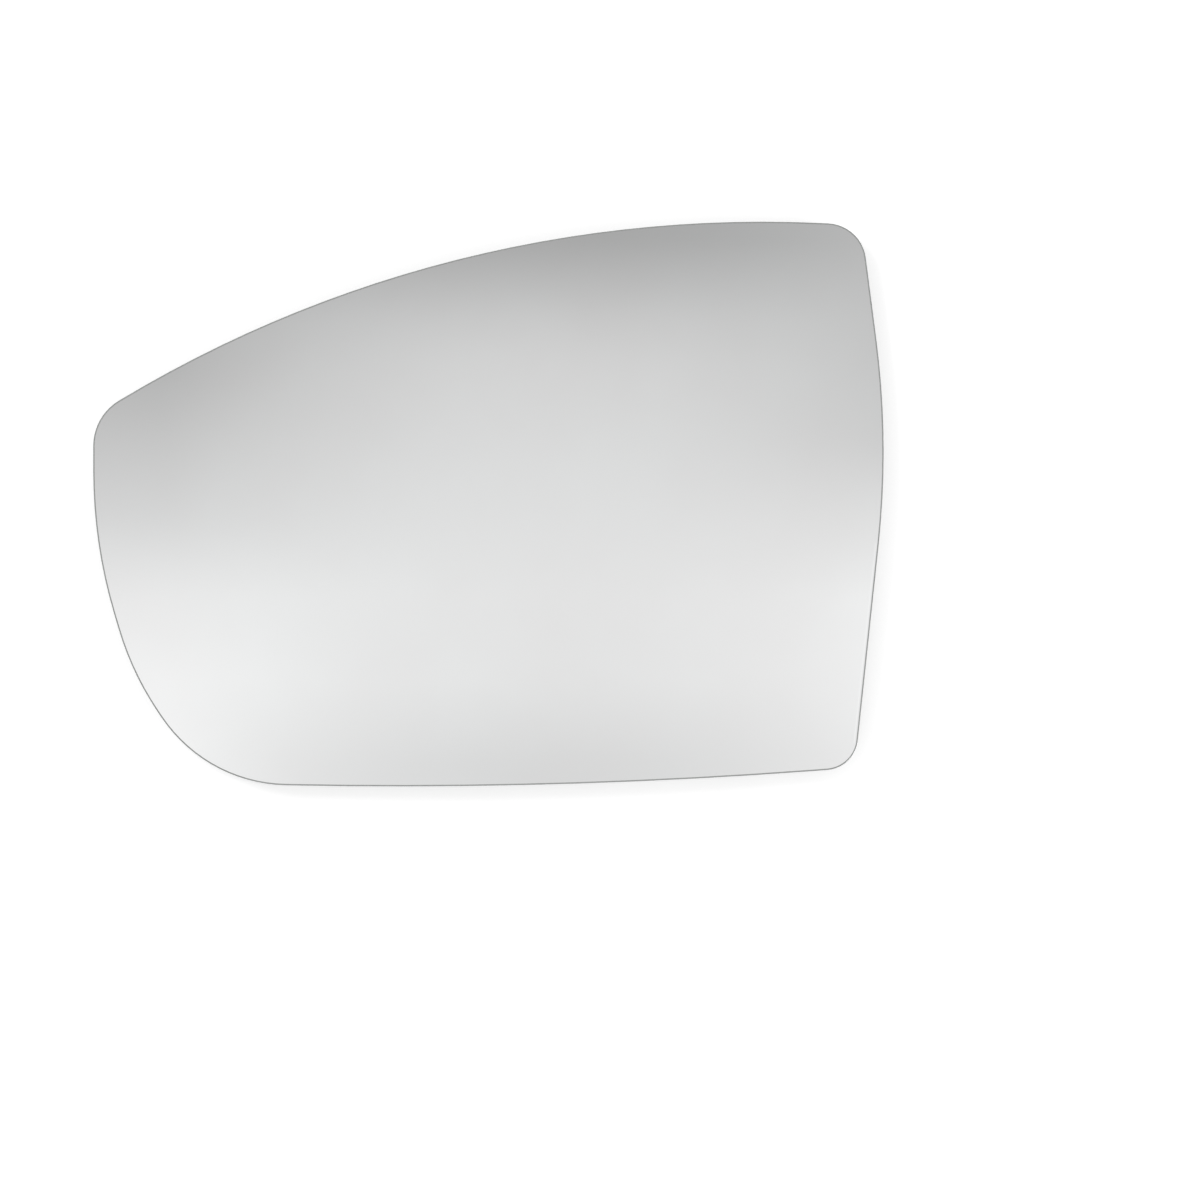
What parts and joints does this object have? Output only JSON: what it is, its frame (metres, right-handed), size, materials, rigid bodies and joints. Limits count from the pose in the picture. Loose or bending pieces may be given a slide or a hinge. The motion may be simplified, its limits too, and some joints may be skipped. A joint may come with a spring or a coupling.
{
  "type": "car door mirror glass",
  "caption": "Convex heated door mirror glass bonded to a moulded carrier plate with a clip ring and blade terminals.",
  "frame": {"origin": "centre of the clip ring, on the plane of its rear rim", "axes": "+Z out of the mirror face, +X towards the straight side, +Y up in the picture's front view"},
  "size_m": [0.1902, 0.1358, 0.012],
  "materials": {
    "mirror_glass": "polished, silvered",
    "adhesive": "satin",
    "heater_film": "satin",
    "heater_track": "matt etched",
    "foam": "matt",
    "carrier_plastic": "fine moulded grain",
    "terminal_brass": "tinned",
    "rivet": "satin"
  },
  "bodies": {
    "root": {"mirror_glass": "mirror_glass", "glass_adhesive": "adhesive", "heater_film": "heater_film", "heater_track": "heater_track", "foam_tape": "foam", "backing_plate": "carrier_plastic", "terminal_upper": "terminal_brass", "terminal_lower": "terminal_brass", "terminal_rivets": "rivet"}
  },
  "joints": []
}
